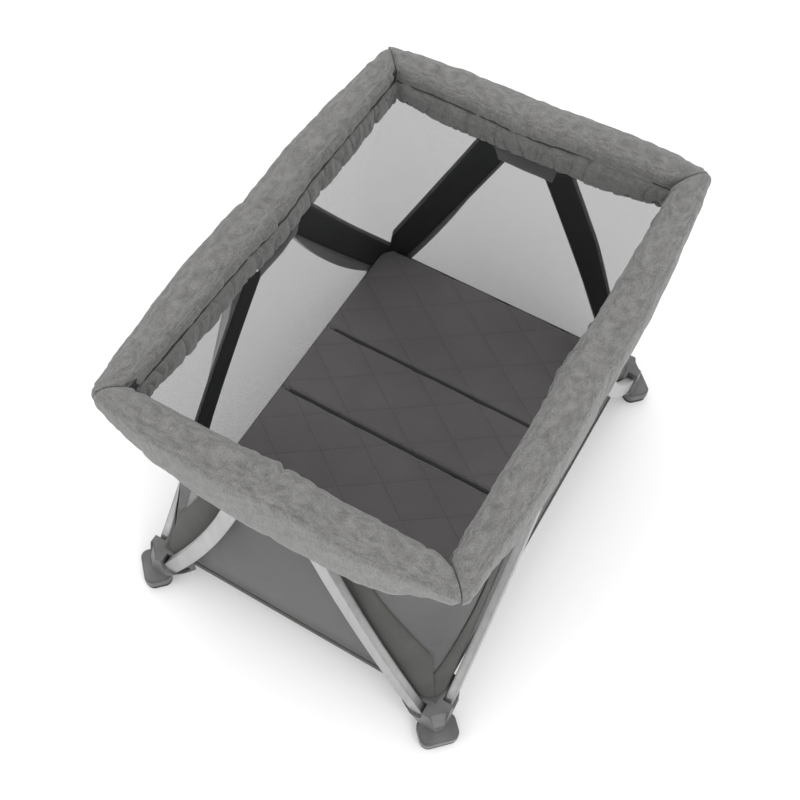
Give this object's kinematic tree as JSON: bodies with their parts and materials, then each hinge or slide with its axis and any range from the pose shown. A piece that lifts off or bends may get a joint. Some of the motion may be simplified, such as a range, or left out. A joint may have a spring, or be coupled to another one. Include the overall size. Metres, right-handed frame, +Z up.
{
  "type": "playpen",
  "caption": "Folding travel playpen with bowed inverted-V legs on each side, padded top rails, mesh walls, a sewn floor and a folding padded mattress.",
  "frame": {"origin": "on the floor, under the middle of the pen", "axes": "+Z up, +X along the long side, +Y across the short side; the front is the long side at -Y"},
  "size_m": [1.09, 0.81, 0.775],
  "materials": {
    "foot_plastic": "satin moulded grey plastic",
    "sole_rubber": "matte dark rubber",
    "leg_aluminium": "satin anodised, light silver",
    "hub_plastic": "matte dark plastic",
    "pin_steel": "bright rivet",
    "button_plastic": "satin mid grey plastic",
    "rail_aluminium": "satin anodised",
    "corner_plastic": "matte dark plastic",
    "cover_fabric": "grey melange weave, padded",
    "side_fabric": "fine grey mesh with woven borders",
    "floor_fabric": "dark grey woven fabric",
    "mattress_fabric": "dark grey ribbed knit, quilted"
  },
  "bodies": {
    "foot_fl": {"foot_fl": "foot_plastic", "foot_pad_fl": "sole_rubber", "floor_panel": "floor_fabric"},
    "foot_fr": {"foot_fr": "foot_plastic", "foot_pad_fr": "sole_rubber"},
    "foot_bl": {"foot_bl": "foot_plastic", "foot_pad_bl": "sole_rubber"},
    "foot_br": {"foot_br": "foot_plastic", "foot_pad_br": "sole_rubber"},
    "leg_front_l": {"leg_front_l": "leg_aluminium"},
    "leg_front_r": {"leg_front_r": "leg_aluminium"},
    "leg_back_l": {"leg_back_l": "leg_aluminium"},
    "leg_back_r": {"leg_back_r": "leg_aluminium"},
    "leg_left_f": {"leg_left_f": "leg_aluminium"},
    "leg_left_b": {"leg_left_b": "leg_aluminium"},
    "leg_right_f": {"leg_right_f": "leg_aluminium"},
    "leg_right_b": {"leg_right_b": "leg_aluminium"},
    "hub_front": {"hub_front": "hub_plastic", "hub_pins_front": "pin_steel", "side_front": "side_fabric"},
    "hub_back": {"hub_back": "hub_plastic", "hub_pins_back": "pin_steel", "side_back": "side_fabric"},
    "hub_left": {"hub_left": "hub_plastic", "hub_pins_left": "pin_steel", "side_left": "side_fabric"},
    "hub_right": {"hub_right": "hub_plastic", "hub_pins_right": "pin_steel", "side_right": "side_fabric"},
    "button_front": {"button_front": "button_plastic"},
    "button_back": {"button_back": "button_plastic"},
    "button_left": {"button_left": "button_plastic"},
    "button_right": {"button_right": "button_plastic"},
    "rail_front_l": {"rail_front_l": "rail_aluminium", "cover_front_l": "cover_fabric"},
    "rail_front_r": {"rail_front_r": "rail_aluminium", "cover_front_r": "cover_fabric"},
    "rail_back_l": {"rail_back_l": "rail_aluminium", "cover_back_l": "cover_fabric"},
    "rail_back_r": {"rail_back_r": "rail_aluminium", "cover_back_r": "cover_fabric"},
    "rail_left_f": {"rail_left_f": "rail_aluminium", "cover_left_f": "cover_fabric"},
    "rail_left_b": {"rail_left_b": "rail_aluminium", "cover_left_b": "cover_fabric"},
    "rail_right_f": {"rail_right_f": "rail_aluminium", "cover_right_f": "cover_fabric"},
    "rail_right_b": {"rail_right_b": "rail_aluminium", "cover_right_b": "cover_fabric"},
    "corner_fl": {"corner_fl": "corner_plastic"},
    "corner_fr": {"corner_fr": "corner_plastic"},
    "corner_bl": {"corner_bl": "corner_plastic"},
    "corner_br": {"corner_br": "corner_plastic"},
    "mattress_a": {"mattress_a": "mattress_fabric"},
    "mattress_b": {"mattress_b": "mattress_fabric"},
    "mattress_c": {"mattress_c": "mattress_fabric"},
    "mattress_d": {"mattress_d": "mattress_fabric"}
  },
  "joints": [
    {"name": "frame_fold", "type": "hinge", "parent": "foot_fl", "child": "leg_front_l", "pos_m": [-0.448, -0.358, 0.088], "axis": [0, -1, 0], "range_deg": [0, 32.8], "deforming": ["floor_panel", "side_front", "side_back", "side_left", "side_right", "cover_front_l", "cover_front_r", "cover_back_l", "cover_back_r", "cover_left_f", "cover_left_b", "cover_right_f", "cover_right_b", "mattress_a", "mattress_b", "mattress_c", "mattress_d"]},
    {"name": "hub_front_hinge", "type": "hinge", "parent": "leg_front_l", "child": "hub_front", "pos_m": [-0.06, -0.358, 0.69], "axis": [0, -1, 0], "range_deg": [-32.82, 0]},
    {"name": "leg_front_r_hinge", "type": "hinge", "parent": "hub_front", "child": "leg_front_r", "pos_m": [0.06, -0.358, 0.69], "axis": [0, -1, 0], "range_deg": [-32.82, 0]},
    {"name": "foot_fr_hinge", "type": "hinge", "parent": "leg_front_r", "child": "foot_fr", "pos_m": [0.448, -0.358, 0.088], "axis": [0, -1, 0], "range_deg": [0, 32.82]},
    {"name": "leg_left_f_hinge", "type": "hinge", "parent": "foot_fl", "child": "leg_left_f", "pos_m": [-0.498, -0.308, 0.088], "axis": [1, 0, 0], "range_deg": [0, 22.41]},
    {"name": "hub_left_hinge", "type": "hinge", "parent": "leg_left_f", "child": "hub_left", "pos_m": [-0.498, -0.06, 0.69], "axis": [1, 0, 0], "range_deg": [-22.41, 0]},
    {"name": "leg_left_b_hinge", "type": "hinge", "parent": "hub_left", "child": "leg_left_b", "pos_m": [-0.498, 0.06, 0.69], "axis": [1, 0, 0], "range_deg": [-22.41, 0]},
    {"name": "foot_bl_hinge", "type": "hinge", "parent": "leg_left_b", "child": "foot_bl", "pos_m": [-0.498, 0.308, 0.088], "axis": [1, 0, 0], "range_deg": [0, 22.41]},
    {"name": "leg_back_l_hinge", "type": "hinge", "parent": "foot_bl", "child": "leg_back_l", "pos_m": [-0.448, 0.358, 0.088], "axis": [0, -1, 0], "range_deg": [0, 32.82]},
    {"name": "hub_back_hinge", "type": "hinge", "parent": "leg_back_l", "child": "hub_back", "pos_m": [-0.06, 0.358, 0.69], "axis": [0, -1, 0], "range_deg": [-32.82, 0]},
    {"name": "leg_back_r_hinge", "type": "hinge", "parent": "hub_back", "child": "leg_back_r", "pos_m": [0.06, 0.358, 0.69], "axis": [0, -1, 0], "range_deg": [-32.82, 0]},
    {"name": "foot_br_hinge", "type": "hinge", "parent": "leg_back_r", "child": "foot_br", "pos_m": [0.448, 0.358, 0.088], "axis": [0, -1, 0], "range_deg": [0, 32.82]},
    {"name": "leg_right_f_hinge", "type": "hinge", "parent": "foot_fr", "child": "leg_right_f", "pos_m": [0.498, -0.308, 0.088], "axis": [1, 0, 0], "range_deg": [0, 22.41]},
    {"name": "hub_right_hinge", "type": "hinge", "parent": "leg_right_f", "child": "hub_right", "pos_m": [0.498, -0.06, 0.69], "axis": [1, 0, 0], "range_deg": [-22.41, 0]},
    {"name": "leg_right_b_hinge", "type": "hinge", "parent": "hub_right", "child": "leg_right_b", "pos_m": [0.498, 0.06, 0.69], "axis": [1, 0, 0], "range_deg": [-22.41, 0]},
    {"name": "rail_front_l_hinge", "type": "hinge", "parent": "hub_front", "child": "rail_front_l", "pos_m": [-0.024, -0.3245, 0.745], "axis": [0, -1, 0], "range_deg": [0, 90.02]},
    {"name": "rail_front_r_hinge", "type": "hinge", "parent": "hub_front", "child": "rail_front_r", "pos_m": [0.024, -0.3245, 0.745], "axis": [0, -1, 0], "range_deg": [-90.02, 0]},
    {"name": "corner_fl_hinge", "type": "hinge", "parent": "rail_front_l", "child": "corner_fl", "pos_m": [-0.44, -0.3245, 0.745], "axis": [0, -1, 0], "range_deg": [-90.02, 0]},
    {"name": "corner_fr_hinge", "type": "hinge", "parent": "rail_front_r", "child": "corner_fr", "pos_m": [0.44, -0.3245, 0.745], "axis": [0, -1, 0], "range_deg": [0, 90.02]},
    {"name": "rail_back_l_hinge", "type": "hinge", "parent": "hub_back", "child": "rail_back_l", "pos_m": [-0.024, 0.3245, 0.745], "axis": [0, -1, 0], "range_deg": [0, 90.02]},
    {"name": "rail_back_r_hinge", "type": "hinge", "parent": "hub_back", "child": "rail_back_r", "pos_m": [0.024, 0.3245, 0.745], "axis": [0, -1, 0], "range_deg": [-90.02, 0]},
    {"name": "corner_bl_hinge", "type": "hinge", "parent": "rail_back_l", "child": "corner_bl", "pos_m": [-0.44, 0.3245, 0.745], "axis": [0, -1, 0], "range_deg": [-90.02, 0]},
    {"name": "corner_br_hinge", "type": "hinge", "parent": "rail_back_r", "child": "corner_br", "pos_m": [0.44, 0.3245, 0.745], "axis": [0, -1, 0], "range_deg": [0, 90.02]},
    {"name": "rail_left_f_hinge", "type": "hinge", "parent": "hub_left", "child": "rail_left_f", "pos_m": [-0.4645, -0.024, 0.745], "axis": [1, 0, 0], "range_deg": [0, 84.02]},
    {"name": "rail_left_b_hinge", "type": "hinge", "parent": "hub_left", "child": "rail_left_b", "pos_m": [-0.4645, 0.024, 0.745], "axis": [1, 0, 0], "range_deg": [-84.02, 0]},
    {"name": "rail_right_f_hinge", "type": "hinge", "parent": "hub_right", "child": "rail_right_f", "pos_m": [0.4645, -0.024, 0.745], "axis": [1, 0, 0], "range_deg": [0, 84.02]},
    {"name": "rail_right_b_hinge", "type": "hinge", "parent": "hub_right", "child": "rail_right_b", "pos_m": [0.4645, 0.024, 0.745], "axis": [1, 0, 0], "range_deg": [-84.02, 0]},
    {"name": "button_front_press", "type": "slide", "parent": "hub_front", "child": "button_front", "axis": [0, 1, 0], "range_m": [0, 0.004], "stiffness_N_per_m": 600},
    {"name": "button_back_press", "type": "slide", "parent": "hub_back", "child": "button_back", "axis": [0, -1, 0], "range_m": [0, 0.004], "stiffness_N_per_m": 600},
    {"name": "button_left_press", "type": "slide", "parent": "hub_left", "child": "button_left", "axis": [1, 0, 0], "range_m": [0, 0.004], "stiffness_N_per_m": 600},
    {"name": "button_right_press", "type": "slide", "parent": "hub_right", "child": "button_right", "axis": [-1, 0, 0], "range_m": [0, 0.004], "stiffness_N_per_m": 600},
    {"name": "mattress_lift", "type": "slide", "parent": "foot_fl", "child": "mattress_b", "axis": [0, 0, 1], "range_m": [0, 0.851]},
    {"name": "mattress_fold_a", "type": "hinge", "parent": "mattress_b", "child": "mattress_a", "pos_m": [-0.232, 0, 0.154], "axis": [0, 1, 0], "range_deg": [0, 90]},
    {"name": "mattress_fold_c", "type": "hinge", "parent": "mattress_b", "child": "mattress_c", "pos_m": [-0.017, 0, 0.154], "axis": [0, -1, 0], "range_deg": [0, 90]},
    {"name": "mattress_fold_d", "type": "hinge", "parent": "mattress_c", "child": "mattress_d", "pos_m": [0.183, 0, 0.154], "axis": [0, -1, 0], "range_deg": [0, 80]}
  ],
  "couplings": [
    {"joint": "hub_front_hinge", "follows": "frame_fold", "ratio": -1},
    {"joint": "leg_front_r_hinge", "follows": "frame_fold", "ratio": -1},
    {"joint": "foot_fr_hinge", "follows": "frame_fold", "ratio": 1},
    {"joint": "leg_left_f_hinge", "follows": "frame_fold", "ratio": 0.68256},
    {"joint": "hub_left_hinge", "follows": "frame_fold", "ratio": -0.68256},
    {"joint": "leg_left_b_hinge", "follows": "frame_fold", "ratio": -0.68256},
    {"joint": "foot_bl_hinge", "follows": "frame_fold", "ratio": 0.68256},
    {"joint": "leg_back_l_hinge", "follows": "frame_fold", "ratio": 1},
    {"joint": "hub_back_hinge", "follows": "frame_fold", "ratio": -1},
    {"joint": "leg_back_r_hinge", "follows": "frame_fold", "ratio": -1},
    {"joint": "foot_br_hinge", "follows": "frame_fold", "ratio": 1},
    {"joint": "leg_right_f_hinge", "follows": "frame_fold", "ratio": 0.68256},
    {"joint": "hub_right_hinge", "follows": "frame_fold", "ratio": -0.68256},
    {"joint": "leg_right_b_hinge", "follows": "frame_fold", "ratio": -0.68256},
    {"joint": "rail_front_l_hinge", "follows": "frame_fold", "ratio": 2.7437},
    {"joint": "rail_front_r_hinge", "follows": "frame_fold", "ratio": -2.7437},
    {"joint": "corner_fl_hinge", "follows": "frame_fold", "ratio": -2.7437},
    {"joint": "corner_fr_hinge", "follows": "frame_fold", "ratio": 2.7437},
    {"joint": "rail_back_l_hinge", "follows": "frame_fold", "ratio": 2.7437},
    {"joint": "rail_back_r_hinge", "follows": "frame_fold", "ratio": -2.7437},
    {"joint": "corner_bl_hinge", "follows": "frame_fold", "ratio": -2.7437},
    {"joint": "corner_br_hinge", "follows": "frame_fold", "ratio": 2.7437},
    {"joint": "rail_left_f_hinge", "follows": "frame_fold", "ratio": 2.5607},
    {"joint": "rail_left_b_hinge", "follows": "frame_fold", "ratio": -2.5607},
    {"joint": "rail_right_f_hinge", "follows": "frame_fold", "ratio": 2.5607},
    {"joint": "rail_right_b_hinge", "follows": "frame_fold", "ratio": -2.5607},
    {"joint": "mattress_lift", "follows": "frame_fold", "m_per_rad": 1.4847}
  ]
}
